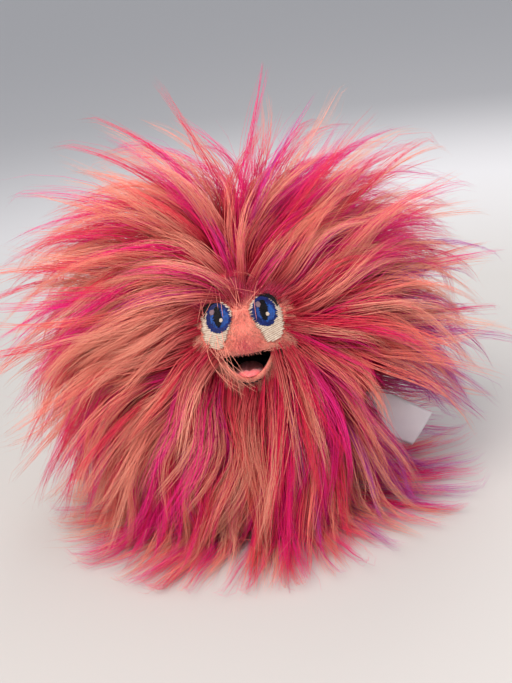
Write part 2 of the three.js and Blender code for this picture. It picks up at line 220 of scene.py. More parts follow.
def grid_quads(rows, columns, closed=False):
    """Faces between the points of a grid, whose columns may close on themselves."""
    row, column = np.meshgrid(np.arange(rows - 1), np.arange(columns - (not closed)), indexing="ij")
    beside = (column + 1) % columns
    return np.stack([row * columns + column, row * columns + beside,
                     (row + 1) * columns + beside, (row + 1) * columns + column], -1).reshape(-1, 4)


def add_thick_sheet(name, outside, inside, material):
    """A closed piece between two grids of points, (rows, columns, 3), joined round their edges."""
    rows, columns, _ = outside.shape
    face = grid_quads(rows, columns)
    border = np.concatenate([np.arange(columns), np.arange(1, rows) * columns + columns - 1,
                             (rows - 1) * columns + np.arange(columns - 2, -1, -1),
                             np.arange(rows - 2, 0, -1) * columns])
    after = np.roll(border, -1)
    total = rows * columns
    rim = np.stack([after, border, border + total, after + total], -1)
    quads = np.concatenate([face, face[:, ::-1] + total, rim])
    points = np.concatenate([outside.reshape(-1, 3), inside.reshape(-1, 3)])
    return add_mesh(name, points, quads, material=material)


def add_roll(name, middle, outward, upward, thick, material, around=20):
    """A closed roll along a line of points, with its own thickness at each."""
    count = len(middle)
    turn = np.linspace(0, 2 * math.pi, around, endpoint=False)[:, None]
    ring = outward[:, None] * np.cos(turn) + upward[:, None] * np.sin(turn)
    points = (middle[:, None] + ring * thick[:, None, None]).reshape(-1, 3)
    last = (count - 1) * around
    ends = [[0, corner, corner + 1] for corner in range(1, around - 1)]
    ends += [[last, last + corner + 1, last + corner] for corner in range(1, around - 1)]
    return add_mesh(name, points, grid_quads(count, around, closed=True), ends, material=material)


# ---- materials ----

class Nodes:
    """A material's nodes, made one call at a time."""

    def __init__(self, name, roughness, sheen=0.0, specular=0.3):
        self.material = bpy.data.materials.new(name)
        self.material.use_nodes = True
        self.tree = self.material.node_tree
        self.shader = self.tree.nodes["Principled BSDF"]
        self.shader.inputs["Roughness"].default_value = roughness
        self.shader.inputs["Specular IOR Level"].default_value = specular
        if sheen:
            self.shader.inputs["Sheen Weight"].default_value = sheen
            self.shader.inputs["Sheen Roughness"].default_value = 0.5

    def link(self, source, target):
        self.tree.links.new(source, target)

    def lock_place(self):
        """The two numbers that each point of a hair or thread carries: its tone and its place along."""
        source = self.tree.nodes.new("ShaderNodeUVMap")
        source.uv_map = "lock"
        split = self.tree.nodes.new("ShaderNodeSeparateXYZ")
        self.link(source.outputs["UV"], split.inputs["Vector"])
        return split.outputs["X"], split.outputs["Y"]

    def ramp(self, source, stops):
        node = self.tree.nodes.new("ShaderNodeValToRGB")
        band = node.color_ramp
        while len(band.elements) < len(stops):
            band.elements.new(0.5)
        for element, (spot, colour) in zip(band.elements, stops):
            element.position = spot
            element.color = (*colour, 1)
        self.link(source, node.inputs["Fac"])
        return node.outputs["Color"]

    def mix(self, share, first, second, mode="MIX"):
        node = self.tree.nodes.new("ShaderNodeMix")
        node.data_type = "RGBA"
        node.blend_type = mode
        for socket, value in ((node.inputs[0], share), (node.inputs[6], first), (node.inputs[7], second)):
            if isinstance(value, bpy.types.NodeSocket):
                self.link(value, socket)
            else:
                socket.default_value = value if isinstance(value, float) else (*value, 1)
        return node.outputs[2]

    def at_object(self, kind):
        """A node of this kind that reads the object's own coordinates, in metres."""
        spot = self.tree.nodes.new("ShaderNodeTexCoord").outputs["Object"]
        node = self.tree.nodes.new(kind)
        self.link(spot, node.inputs["Vector"])
        return node

    def distance(self):
        """How far a point is from its object's origin, in metres."""
        node = self.at_object("ShaderNodeVectorMath")
        node.operation = "LENGTH"
        return node.outputs["Value"]

    def noise(self, scale, detail=3.0):
        texture = self.at_object("ShaderNodeTexNoise")
        texture.inputs["Scale"].default_value = scale
        texture.inputs["Detail"].default_value = detail
        return texture.outputs["Fac"]

    def wave(self, scale, direction):
        texture = self.at_object("ShaderNodeTexWave")
        texture.bands_direction = direction
        texture.inputs["Scale"].default_value = scale
        texture.inputs["Distortion"].default_value = 0.6
        return texture.outputs["Fac"]

    def multiply(self, first, second):
        node = self.tree.nodes.new("ShaderNodeMath")
        node.operation = "MULTIPLY"
        self.link(first, node.inputs[0])
        self.link(second, node.inputs[1])
        return node.outputs[0]

    def bump(self, height, strength, distance):
        node = self.tree.nodes.new("ShaderNodeBump")
        node.inputs["Strength"].default_value = strength
        node.inputs["Distance"].default_value = distance
        self.link(height, node.inputs["Height"])
        self.link(node.outputs["Normal"], self.shader.inputs["Normal"])

    def colour(self, source):
        self.link(source, self.shader.inputs["Base Color"])
        return self.material


def fur_material():
    """Long pile: a tone for each lock, with painted shade of deep crimson at the roots, where the pile is shaded,
    and paler at the tips.
    """
    nodes = Nodes("long pile", roughness=0.45, specular=0.25)
    tone, along = nodes.lock_place()
    # the stops from 0.93 up are the violet of the painted cool light on the right, given by lock_tones
    tones = nodes.ramp(tone, [
        (0.0, (1.0, 0.45, 0.32)), (0.22, (1.0, 0.33, 0.24)), (0.40, (0.98, 0.14, 0.14)),
        (0.50, (0.92, 0.030, 0.09)), (0.58, (0.90, 0.012, 0.13)), (0.64, (0.92, 0.008, 0.22)),
        (0.88, (0.96, 0.025, 0.34)), (0.93, (0.52, 0.035, 0.30)), (1.0, (0.62, 0.10, 0.50))])
    # painted shade: the roots blend to deep crimson, standing for the shade deep in the pile
    depth = nodes.ramp(along, [(0.0, (0, 0, 0)), (0.30, (0.65,) * 3), (0.65, (1, 1, 1))])
    return nodes.colour(nodes.mix(depth, (0.46, 0.004, 0.034), tones))


def plush_material():
    """Short plush: peach, crimson towards the brow. Its hairs are darker at the root."""
    nodes = Nodes("short plush", roughness=0.75, sheen=0.25)
    tone, along = nodes.lock_place()
    tones = nodes.ramp(tone, [(0.0, (0.90, 0.38, 0.27)), (0.4, (0.86, 0.20, 0.17)),
                              (0.7, (0.78, 0.03, 0.11)), (1.0, (0.66, 0.01, 0.10))])
    depth = nodes.ramp(along, [(0.0, (0.55,) * 3), (0.8, (1, 1, 1))])
    return nodes.colour(nodes.mix(1.0, tones, depth, "MULTIPLY"))


def mottled_material(name, colour, shade, scale, sheen=0.3):
    """Cloth with no clear threads, such as felt, wadding, backing or board: a fibrous mottle."""
    nodes = Nodes(name, roughness=0.95, sheen=sheen)
    nodes.bump(nodes.noise(1400.0, 6.0), 0.6, 0.6 * MM)
    return nodes.colour(nodes.ramp(nodes.noise(scale, 5.0), [(0.3, shade), (0.7, colour)]))


def thread_material(name, colour, shade, specular=0.45):
    """Satin thread, a little uneven along its length."""
    nodes = Nodes(name, roughness=0.42, specular=specular)
    nodes.bump(nodes.noise(2500.0), 0.4, 0.2 * MM)
    return nodes.colour(nodes.ramp(nodes.noise(500.0), [(0.3, shade), (0.7, colour)]))


def weave_material(name, colour, shade, pitch=0.9 * MM, roughness=0.85):
    """Plain woven cloth with this distance between its threads."""
    nodes = Nodes(name, roughness=roughness, sheen=0.15)
    scale = 2 * math.pi / pitch / 20
    weave = nodes.multiply(nodes.wave(scale, "X"), nodes.wave(scale, "Z"))
    nodes.bump(weave, 0.6, 0.3 * MM)
    mottle = nodes.ramp(nodes.noise(70.0), [(0.3, shade), (0.7, colour)])
    threads = nodes.ramp(weave, [(0.0, shade), (1.0, colour)])
    return nodes.colour(nodes.mix(0.35, mottle, threads))


FUR = fur_material()
PLUSH = plush_material()
BACKING = mottled_material("fur backing", (0.50, 0.02, 0.05), (0.34, 0.008, 0.025), 60.0, sheen=0.0)
SKIN = mottled_material("plush ground", (0.86, 0.29, 0.21), (0.72, 0.15, 0.12), 90.0)
# painted shade and light: the white thread is dimmed to a pinkish cream, standing for the shade of the fuzz over
# the eye whites and the pink light the fur throws on them
SHADED_WHITE_THREAD = thread_material("white thread", (0.66, 0.55, 0.44), (0.46, 0.34, 0.26))
DIM_THREAD = thread_material("grey pink thread", (0.26, 0.16, 0.18), (0.17, 0.10, 0.13))
BLUE_THREAD = thread_material("blue thread", (0.004, 0.016, 0.15), (0.002, 0.006, 0.06), 0.3)
PALE_THREAD = thread_material("pale blue thread", (0.010, 0.085, 0.36), (0.004, 0.028, 0.16), 0.3)
BLACK_THREAD = thread_material("black thread", (0.010, 0.008, 0.011), (0.003, 0.003, 0.004), 0.12)
LINING = weave_material("black lining", (0.020, 0.016, 0.018), (0.005, 0.004, 0.005), roughness=0.7)
SLEEVE = weave_material("sleeve cloth", (0.50, 0.05, 0.17), (0.27, 0.02, 0.09))
CUFF = weave_material("cuff cloth", (0.62, 0.04, 0.20), (0.36, 0.02, 0.11), pitch=1.4 * MM)
SATIN = weave_material("satin ribbon", (0.95, 0.94, 0.94), (0.86, 0.84, 0.86), 0.5 * MM, roughness=0.4)
TONGUE = mottled_material("tongue felt", (1.0, 0.24, 0.24), (0.86, 0.12, 0.14), 500.0)
BOARD = mottled_material("grey board", (0.44, 0.34, 0.24), (0.33, 0.25, 0.17), 300.0, sheen=0.0)
WADDING = mottled_material("wadding", (0.86, 0.84, 0.80), (0.70, 0.68, 0.64), 200.0)


# ---- camera, light and floor ----

def add_camera():
    """The photograph's view: from in front and above, leaning a little to one side."""
    camera = bpy.data.objects.new("camera", bpy.data.cameras.new("camera"))
    bpy.context.scene.collection.objects.link(camera)
    roll, distance, seen_height = math.radians(8.5), 0.85, 0.507
    target = Vector((0.007, 0, BALL[2] - 0.003))
    out = Vector(LOOK_FROM)
    camera.location = target + out * distance
    facing = (-out).to_track_quat("-Z", "Y").to_matrix()
    camera.rotation_euler = (facing @ Matrix.Rotation(-roll, 3, "Z")).to_euler()
    camera.data.sensor_fit = "VERTICAL"
    camera.data.sensor_height = 36
    camera.data.lens = camera.data.sensor_height * distance / seen_height
    camera.data.clip_end = 20
    bpy.context.scene.camera = camera


def add_light(name, spot, power, size, colour):
    """A square lamp that points at the ball. Its power is in watts and its size in metres."""
    data = bpy.data.lights.new(name, "AREA")
    data.energy, data.size, data.color = power, size, colour
    lamp = bpy.data.objects.new(name, data)
    bpy.context.scene.collection.objects.link(lamp)
    lamp.location = spot
    lamp.rotation_euler = (Vector(BALL) - Vector(spot)).to_track_quat("-Z", "Y").to_euler()


def add_stage():
    """The pale floor, with painted light that makes it paler further out, three lamps and the light all round."""
    reach = 12  # metres: the photograph's view sees no edge of the floor
    corners = [(-reach, -reach, 0), (reach, -reach, 0), (reach, reach, 0), (-reach, reach, 0)]
    floor = add_mesh("floor", corners, [(0, 1, 2, 3)])
    nodes = Nodes("pale floor", roughness=0.9)
    # painted light: paler from half a metre out, for the far floor that the lamps barely reach
    pale = nodes.ramp(nodes.distance(), [(0.5, (0.57, 0.56, 0.545)), (1.0, (0.72, 0.72, 0.74))])
    floor.data.materials.append(nodes.colour(pale))
    add_light("key", (-0.45, -0.85, 1.32), 24, 0.9, (1.0, 0.93, 0.87))
    add_light("fill", (1.0, -0.8, 0.8), 5, 0.9, (0.95, 0.93, 1.0))
    add_light("rim", (0.4, 1.0, 0.9), 6, 0.6, (1.0, 0.97, 0.95))
    world = bpy.data.worlds.new("studio")
    world.use_nodes = True
    world.node_tree.nodes["Background"].inputs["Color"].default_value = (0.85, 0.86, 0.90, 1)
    world.node_tree.nodes["Background"].inputs["Strength"].default_value = 0.55
    bpy.context.scene.world = world
    bpy.context.scene.view_settings.view_transform = "Standard"


# ---- long fur: locks of fine fibres ----

FRONT_PILE, BACK_PILE, BIB_PILE, CHIN_PILE = 130 * MM, 118 * MM, 146 * MM, 130 * MM
FACE_PILE, MOUSTACHE_PILE = 104 * MM, 98 * MM
FRONT_SPACING, BACK_SPACING, CHIN_SPACING = 8.0 * MM, 9.8 * MM, 6.0 * MM  # between locks
SHELL_LIFT, CHIN_LIFT, SPIKY_LIFT = 0.60, 0.14, 0.95  # how steeply locks stand, in radians
STIFFNESS = 0.70  # how far a lock keeps its heading from one step to the next
FLOOR_NEAR, FLOOR_FAR = 8 * MM, 45 * MM  # between these heights a lock turns out along the floor


def face_polar(direction):
    """How far a direction is from the face's axis, and its bearing round the face: 0 is right,
    90 up, 180 left and 270 down, in degrees."""
    away = np.degrees(np.arccos(np.clip(direction @ FACE_AXIS, -1, 1)))
    bearing = np.degrees(np.arctan2(direction @ FACE_UP, direction[..., 0])) % 360
    return away, bearing


def ripple(direction, seed, size):
    """A smooth field over the ball, about -1 to 1. A larger size makes finer ripples."""
    count = 24
    rng = np.random.default_rng(seed)
    axes = unit(rng.normal(size=(count, 3)))
    waves = np.sin(direction @ axes.T * rng.uniform(0.6, 1.4, count) * size + rng.uniform(0, 6.28, count))
    return waves.sum(-1) / math.sqrt(count / 2) / 1.4


def comb_direction(direction):
    """The way the fur is combed at a direction from the ball's middle: away from the face, with a
    parting above it, from which the fur sweeps to the left in a wave and to the right. The sweeps
    are in degrees, and fade in and out between bearings in degrees."""
    outward = unit((direction @ FACE_AXIS)[..., None] * direction - FACE_AXIS)
    round_face = flattened(np.cross(FACE_AXIS, direction), direction)
    away, bearing = face_polar(direction)
    leftward = 62 * smooth(80, 102, bearing) * (1 - smooth(122, 195, bearing))
    rightward = 34 * smooth(5, 45, bearing) * (1 - smooth(66, 88, bearing))
    sweep = (leftward - rightward) * (1 - 0.6 * smooth(70, 115, away))
    hanging = bell(bearing, 230, 24) - bell(bearing, 310, 24)
    sweep = sweep + 34 * hanging * (1 - smooth(40, 90, away))
    sweep = np.radians(sweep + 20 * ripple(direction, 3, 6.0))
    return outward * np.cos(sweep)[..., None] + round_face * np.sin(sweep)[..., None]


def grow_guides(roots, normals, length, lift, spiky, rise, sag, rng):
    """The middle line of each lock. It leaves the skin, turns to lie along the combed direction,
    sags under its weight, and rests on the ball and on the floor."""
    count, steps = len(roots), 16
    position = roots.copy()
    twist = rng.normal(0, 0.16, count)
    combed = comb_direction(unit(roots - BALL))
    beside = np.cross(normals, combed)
    combed = combed * np.cos(twist)[:, None] + beside * np.sin(twist)[:, None]
    heading = unit(normals * rise + combed * 0.7)
    curl = rng.normal(0, 0.20, (count, 3))
    bend, phase = 0.75 * ripple(unit(roots - BALL), 21, 9.0), 3 * ripple(unit(roots - BALL), 22, 5.0)
    step = (length / steps)[:, None]
    guides = [position.copy()]
    for index in range(1, steps + 1):
        share = index / steps
        radial = unit(position - BALL)
        flow = comb_direction(radial)
        flow = unit(flow + 0.6 * (combed - (combed * radial).sum(1, keepdims=True) * radial))
        flow = flow + np.cross(radial, flow) * (bend * np.sin(5 * share + phase))[:, None]
        flow = unit(flow)
        elevation = lift * (1 - 0.35 * share) + 0.5 * rise * (1 - smooth(0, 0.3, share))
        elevation = np.where(spiky, np.maximum(elevation, SPIKY_LIFT), elevation)[:, None]
        below = 1 - smooth(-0.3, 0.45, radial[:, 2])
        weight = sag * (0.22 + 0.78 * below) * (0.2 + share) * np.where(spiky, 0.3, 1.0)
        near_floor = (1 - smooth(FLOOR_NEAR, FLOOR_FAR, position[:, 2]))[:, None]
        outwards = unit((position - BALL) * np.array([1.0, 1.0, 0.0]))
        target = flow * np.cos(elevation) + radial * np.sin(elevation)
        target = target * (1 - 0.8 * near_floor) + outwards * 1.1 * near_floor
        target = unit(unit(target - UP * weight[:, None] * (1 - near_floor)) + curl * share)
        heading = unit(heading * STIFFNESS + target * (1 - STIFFNESS))
        position = position + heading * step
        from_ball = position - BALL
        distance = np.linalg.norm(from_ball, axis=1, keepdims=True)
        clear = SKIN_RADIUS + (2 + 6 * share) * MM
        position = BALL + from_ball * np.clip(distance, clear, PILE_LIMIT) / distance
        bed = (1.2 + 9 * share * rng.random(count)) * MM
        low = position[:, 2] < bed
        position[low, 2] = bed[low]
        heading[low, 2] = np.maximum(heading[low, 2], 0)
        heading = unit(heading)
        guides.append(position.copy())
    return np.stack(guides, 1)


def sample_along(guides, shares):
    """Points on each guide at the given shares of its length. shares is (guides, samples)."""
    last = guides.shape[1] - 1
    spot = np.clip(shares, 0, 1) * last
    below = np.minimum(spot.astype(int), last - 1)
    part = (spot - below)[..., None]
    rows = np.arange(len(guides))[:, None]
    return guides[rows, below] * (1 - part) + guides[rows, below + 1] * part


FIBRE_RINGS = 7


def fibres_from(guides, tones, per_lock, root_width, thickness, rng):
    """Fine fibres round each guide. They spread from the skin, gather in a few strands and meet
    near the tips. Returns paths, radii and tones."""
    locks = len(guides)
    owner = np.repeat(np.arange(locks), per_lock)
    count = len(owner)
    strands, stray_share, stray_size = 4, 0.08, 5.0
    strand = rng.integers(0, strands, count)
    centre = rng.uniform(-1, 1, (locks, strands, 2))[owner, strand]
    spot = rng.normal(0, 0.6, (count, 2))
    reach = rng.uniform(0.6, 1.0, count) ** 0.7
    steps = np.linspace(0, 1, FIBRE_RINGS) ** 0.9
    shares = reach[:, None] * steps[None]
    own = guides[owner]
    line = sample_along(own, shares)
    ahead = unit(sample_along(own, shares + 0.04) - sample_along(own, shares - 0.04))
    beside = unit(np.cross(ahead, unit(line - BALL)) + 1e-6)
    over = np.cross(beside, ahead)
    gather = smooth(0.1, 0.9, shares)[..., None]
    taper = (1 - 0.6 * shares ** 1.5)[..., None]
    offset = spot[:, None] * (1 - 0.8 * gather) + centre[:, None] * gather * taper
    offset = offset * root_width[owner][:, None, None]
    phase = rng.uniform(0, 6.28, (count, 1, 2))
    waves = np.sin(shares[..., None] * rng.uniform(3, 8, (count, 1, 2)) + phase) - np.sin(phase)
    stray = np.where(rng.random((count, 1, 1)) < stray_share, stray_size, 1.0)
    stray = stray * rng.gamma(1.6, 0.9, (count, 1, 1))
    offset = offset + waves * shares[..., None] * stray * MM
    paths = line + beside * offset[..., :1] + over * offset[..., 1:] * 0.7
    paths[..., 2] = np.maximum(paths[..., 2], 0.5 * MM)
    radii = thickness * rng.uniform(0.7, 1.3, (count, 1)) * ((1 - steps[:-1]) ** 0.7)[None]
    strand_tone = rng.normal(0, 0.07, (locks, strands))[owner, strand]
    fibre_tones = np.clip(tones[owner] + strand_tone + rng.normal(0, 0.03, count), 0.005, 0.995)
    return paths, radii, fibre_tones


def sphere_points(centre, radius, spacing, rng):
    """Points spread evenly over a sphere, a little jittered, with their normals."""
    count = int(4 * math.pi * radius ** 2 / spacing ** 2)
    index = np.arange(count) + 0.5
    height = 1 - 2 * index / count
    turn = index * math.pi * (1 + math.sqrt(5))
    flat = np.sqrt(1 - height ** 2)
    normals = np.stack([flat * np.cos(turn), flat * np.sin(turn), height], 1)
    normals = unit(normals + rng.normal(0, 0.28 * spacing / radius, (count, 3)))
    return centre + normals * radius, normals


def lock_tones(roots, rng):
    """A tone for each lock: pale peach or deep coral to pink. There are fewer pale locks below the face, which is
    painted shade, and fewer to its right; on the right there is a painted violet cast of cool light.
    """
    direction = unit(roots - BALL)
    away, bearing = face_polar(direction)
    right_of = (bearing + 180) % 360 - 180
    field = 0.5 + 0.5 * ripple(direction, 11, 9.0)
    # painted shade: fewer pale locks below the face, where shade falls; also fewer to the face's right
    painted_shade_and_deeper_right = 0.08 * bell(right_of, 20, 45) + 0.16 * bell(bearing, 262, 46)
    pale_share = 0.60 - 0.5 * (field - 0.5) - painted_shade_and_deeper_right
    pale, deep = rng.uniform(0.0, 0.32, len(roots)), rng.uniform(0.42, 0.86, len(roots))
    tone = np.where(rng.random(len(roots)) < pale_share, pale, deep)
    # painted light: violet locks on the right stand for a cool light falling there
    painted_violet_light = bell(right_of, -20, 34) * smooth(40, 70, away)
    return np.where(rng.random(len(roots)) < 0.85 * painted_violet_light, rng.uniform(0.92, 0.99, len(roots)), tone)


def hides_label(guides):
    """Whether a lock passes in front of the care label. The fur is parted there."""
    label_low, label_high = (np.array(corner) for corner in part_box("care_label"))
    shown_share, parting_radius, lower = 0.62, 21 * MM, 4 * MM
    middle = (label_low + label_high) / 2
    middle[0] = label_high[0] - shown_share * (label_high[0] - label_low[0]) / 2
    middle[1], middle[2] = label_low[1], middle[2] - lower
    to_lock = guides - middle
    forward = to_lock @ LOOK_FROM
    aside = np.linalg.norm(to_lock - forward[..., None] * LOOK_FROM, axis=-1)
    return ((forward > -4 * MM) & (aside < parting_radius)).any(1)


def add_fur(name, roots, normals, seed, per_lock, length, lift, width=4.6, thickness=0.20,
            spikes=0.20, rise=1.0, sag=1.0):
    """One piece of long fur on the given roots. In mm, width is how far a lock spreads and thickness
    is a fibre's radius. spikes is the share of locks that stand up, rise is how steeply a lock
    leaves the skin, and sag is its weight."""
    rng = np.random.default_rng(seed)
    count = len(roots)
    lengths = length * rng.uniform(0.78, 1.16, count)
    lifts = lift + rng.normal(0, 0.12, count)
    spiky = rng.random(count) < spikes
    guides = grow_guides(roots - normals * MM, normals, lengths, lifts, spiky, rise, sag, rng)
    shown = ~hides_label(guides)
    guides, tones = guides[shown], lock_tones(roots, rng)[shown]
    widths = (width * MM * rng.uniform(0.75, 1.25, count))[shown]
    paths, radii, fibre_tones = fibres_from(guides, tones, per_lock, widths, thickness * MM, rng)
    points, quads, triangles = tapered_tubes(paths, radii, rng)
    uvs, cells = tube_uvs(fibre_tones, FIBRE_RINGS)
    return add_mesh(name, points, quads, triangles, uvs, cells, FUR)


def skin_panels():
    """Roots and normals of the shell's fur, by CAD panel."""
    rng = np.random.default_rng(5)
    near, near_normals = sphere_points(BALL, SKIN_RADIUS, FRONT_SPACING, rng)
    far, far_normals = sphere_points(BALL, SKIN_RADIUS, BACK_SPACING, rng)
    hole_low, hole_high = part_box("cuff_hem")
    hole_y, hole_radius = (hole_low[1] + hole_high[1]) / 2, hole_high[0]
    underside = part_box("fur_underside_left")[1][2]

    def keep(where, spots, outward):
        over_hole = np.hypot(spots[:, 0], spots[:, 1] - hole_y) < hole_radius
        chosen = where & ~(over_hole & (spots[:, 2] < BALL[2]))
        return spots[chosen], outward[chosen]

    strip = np.abs(near[:, 0]) < STRIP_HALF_WIDTH
    front, angle = near[:, 1] < SEAM_Y, fold_angle(near)
    behind, low = far[:, 1] >= SEAM_Y, far[:, 2] < underside
    left = far[:, 0] < 0
    return {
        "fur_front_left": keep(front & ~strip & (near[:, 0] < 0), near, near_normals),
        "fur_front_right": keep(front & ~strip & (near[:, 0] > 0), near, near_normals),
        "fur_crown": keep(front & strip & (angle > 78), near, near_normals),
        "fur_bib": keep(front & strip & (angle < -40), near, near_normals),
        "fur_back_left": keep(behind & left & ~low, far, far_normals),
        "fur_back_right": keep(behind & ~left & ~low, far, far_normals),
        "fur_underside_left": keep(behind & left & low, far, far_normals),
        "fur_underside_right": keep(behind & ~left & low, far, far_normals),
    }


def add_shell_fur():
    """The long fur of the shell's panels: fine in front, and a little coarser behind."""
    for seed, (name, (roots, normals)) in enumerate(skin_panels().items()):
        back = name.startswith(("fur_back", "fur_under"))
        length = BACK_PILE if back else BIB_PILE if name == "fur_bib" else FRONT_PILE
        per_lock, width, thickness = (15, 6.0, 0.23) if back else (23, 5.2, 0.20)
        piece = add_fur(f"{name}_pile", roots, normals, 100 + seed, per_lock, length, SHELL_LIFT,
                        width, thickness)
        place(piece, "shell", slots[name], name)


def add_backing():
    """The knitted backing of the fur: a dome on each side, and the strip between them over the
    crown and the back and under the beard. It leaves the face and the sleeve open."""
    outer, inner = SKIN_RADIUS + 0.5 * MM, SKIN_RADIUS - 0.7 * MM
    turns = np.radians(np.linspace(-90, 90, 361))
    middle_angles = fold_angle(on_sphere(BALL, 0.0, turns, outer))
    brow_angle, beard_angle = 76, -39
    brow = turns[np.argmin(np.abs(middle_angles - brow_angle))]
    beard = turns[np.argmin(np.abs(middle_angles - beard_angle))]
    hole_low, hole_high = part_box("cuff_hem")
    hole_front = math.asin(hole_low[1] / outer) - math.pi / 2
    hole_back = math.asin(hole_high[1] / outer) - math.pi / 2 + 2 * math.pi

    def strip(start, end, columns):
        sideways, turn = np.meshgrid(np.linspace(-1, 1, columns) * STRIP_HALF_WIDTH,
                                     np.linspace(start, end, 49))
        return on_sphere(BALL, sideways, turn, outer), on_sphere(BALL, sideways, turn, inner)

    def dome(side):
        away, turn = np.meshgrid(np.linspace(STRIP_HALF_WIDTH, inner - 0.2 * MM, 25) * side,
                                 np.linspace(0, 2 * math.pi, 73), indexing="ij")
        return on_sphere(BALL, away, turn * side, outer), on_sphere(BALL, away, turn * side, inner)

    def brow_strip():
        sideways, angle = np.meshgrid(np.linspace(-1, 1, 25) * STRIP_HALF_WIDTH, np.linspace(64, 104, 25))
        front = FACE_RADIUS + 3.4 * MM
        return about_fold(sideways, angle, front + 1.0 * MM), about_fold(sideways, angle, front)

    strip_width = 2 * STRIP_HALF_WIDTH
    dome_width = 2 * outer * math.acos(STRIP_HALF_WIDTH / outer)
    for name, grids, width, rests_on, share in (
            ("backing_crown", strip(brow, hole_back, 25), strip_width, "stuffing_crown", 1.0),
            ("backing_brow", brow_strip(), strip_width, "face_panel", 1.0),
            ("backing_bib", strip(hole_front, beard, 25), strip_width, "hand_sleeve", 1.0),
            ("backing_left", dome(-1), dome_width, "stuffing_left", math.pi / 4),
            ("backing_right", dome(1), dome_width, "stuffing_right", math.pi / 4)):
        backing = place(add_thick_sheet(name, *grids, BACKING), "shell", "coral_fur")


def face_roots(spacing, seed, keep):
    """Roots on the round of the face where keep(sideways, angle) says so."""
    rng = np.random.default_rng(seed)
    points, normals = sphere_points(FOLD, FACE_RADIUS, spacing, rng)
    angle, sideways = fold_angle(points), points[:, 0]
    chosen = keep(np.abs(sideways) / MM, angle) & (points[:, 1] < FOLD[1])
    return points[chosen], normals[chosen]


def add_face_fur():
    """The long fur that rides on the face: brow, cheeks and the locks beside the mouth."""
    def brow(sideways, angle):
        return (angle > 46.5 + 9 * bell(sideways, 15, 9)) & (angle < 88) & (sideways < 46)

    def cheek(sideways, angle):
        return (sideways > 26.5) & (sideways < 47) & (angle > 14) & (angle <= 58)

    def beside_mouth(sideways, angle):
        return (sideways > 16) & (sideways < 28) & (angle > 18.5) & (angle < 24.5)

    # each piece's place, the spacing of its locks in mm, their length, lift in radians, and weight
    for seed, (name, keep, spacing, length, lift, sag) in enumerate((
            ("brow_fur", brow, 5.4, FACE_PILE, 0.36, 1.0),
            ("cheek_fur", cheek, 5.8, FACE_PILE, 0.30, 1.0),
            ("moustache_locks", beside_mouth, 4.6, MOUSTACHE_PILE, 0.05, 3.5))):
        roots, normals = face_roots(spacing * MM, 20 + seed, keep)
        piece = add_fur(name, roots, normals, 30 + seed, 22, length, lift, width=4.4,
                        spikes=0.04, rise=0.25, sag=sag)
        place(piece, "upper_jaw", "peach_fur")


def add_chin_fur():
    """The beard: rooted on the chin, over the bib."""
    rng = np.random.default_rng(41)
    chin_points = node_points("chin_fur")
    inner = np.linalg.norm(chin_points - FOLD, axis=1).min()
    points, normals = sphere_points(FOLD, inner + 4 * MM, CHIN_SPACING, rng)
    angle = fold_angle(points)
    under_lip = angle < lip_angle(points[:, 0]) - 4.5
    chosen = (np.abs(points[:, 0]) < 42 * MM) & under_lip & (angle > -36) & (points[:, 1] < FOLD[1])
    piece = add_fur("chin_fur_pile", points[chosen], normals[chosen], 42, 22, CHIN_PILE, CHIN_LIFT,
                    spikes=0.03, rise=0.4)
    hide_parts("chin_fur")
    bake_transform(piece)


# ---- the face ----

def face_patch(name):
    """Where a CAD patch lies on the face: its sideways place, its angle in degrees, and its half
    width and half height in metres."""
    points = node_points(name)
    angles, sideways = fold_angle(points), points[:, 0]
    return ((sideways.min() + sideways.max()) / 2, (angles.min() + angles.max()) / 2,
            np.ptp(sideways) / 2, math.radians(np.ptp(angles) / 2) * FACE_RADIUS)


MUZZLE_ANGLE = face_patch("nose")[1]


def muzzle_relief(sideways, angle):
    """How far the muzzle and its lower edge stand out of the round of the face."""
    up = np.radians(angle - MUZZLE_ANGLE) * FACE_RADIUS
    bump = 5.2 * MM * bell(sideways, 0, 8.5 * MM) * bell(up, -1 * MM, 10 * MM)
    edge = 1.6 * MM * bell(up, -9 * MM, 3 * MM) * bell(sideways, 0, 20 * MM)
    return bump + edge


def on_face(sideways, angle, height):
    """Points at a height over the face's plush ground."""
    return about_fold(sideways, angle, FACE_RADIUS + height + muzzle_relief(sideways, angle))


def add_face_skin():
    """The ground of the face: a thick soft cloth, rolled in at the mouth's edge."""
    panel = node_points("face_panel")
    angles = fold_angle(panel)
    half_width = panel[:, 0].max()
    sideways, share = np.meshgrid(np.linspace(-half_width, half_width, 73), np.linspace(0, 1, 65))
    bottom = angles.min() - 1.5 * bell(sideways, 0, 15 * MM)
    angle = bottom + (angles.max() - bottom) * share
    edge = np.sqrt(1 - (1 - np.minimum(share / 0.05, 1)) ** 2)
    outside = on_face(sideways, angle, -1.0 * MM + (edge - 1) * 1.6 * MM)
    inside = about_fold(sideways, angle, FACE_RADIUS - 3.4 * MM)
    skin = add_thick_sheet("face_skin", outside, inside, SKIN)
    place(skin, "upper_jaw", "face_plush", "face_panel", "nose")


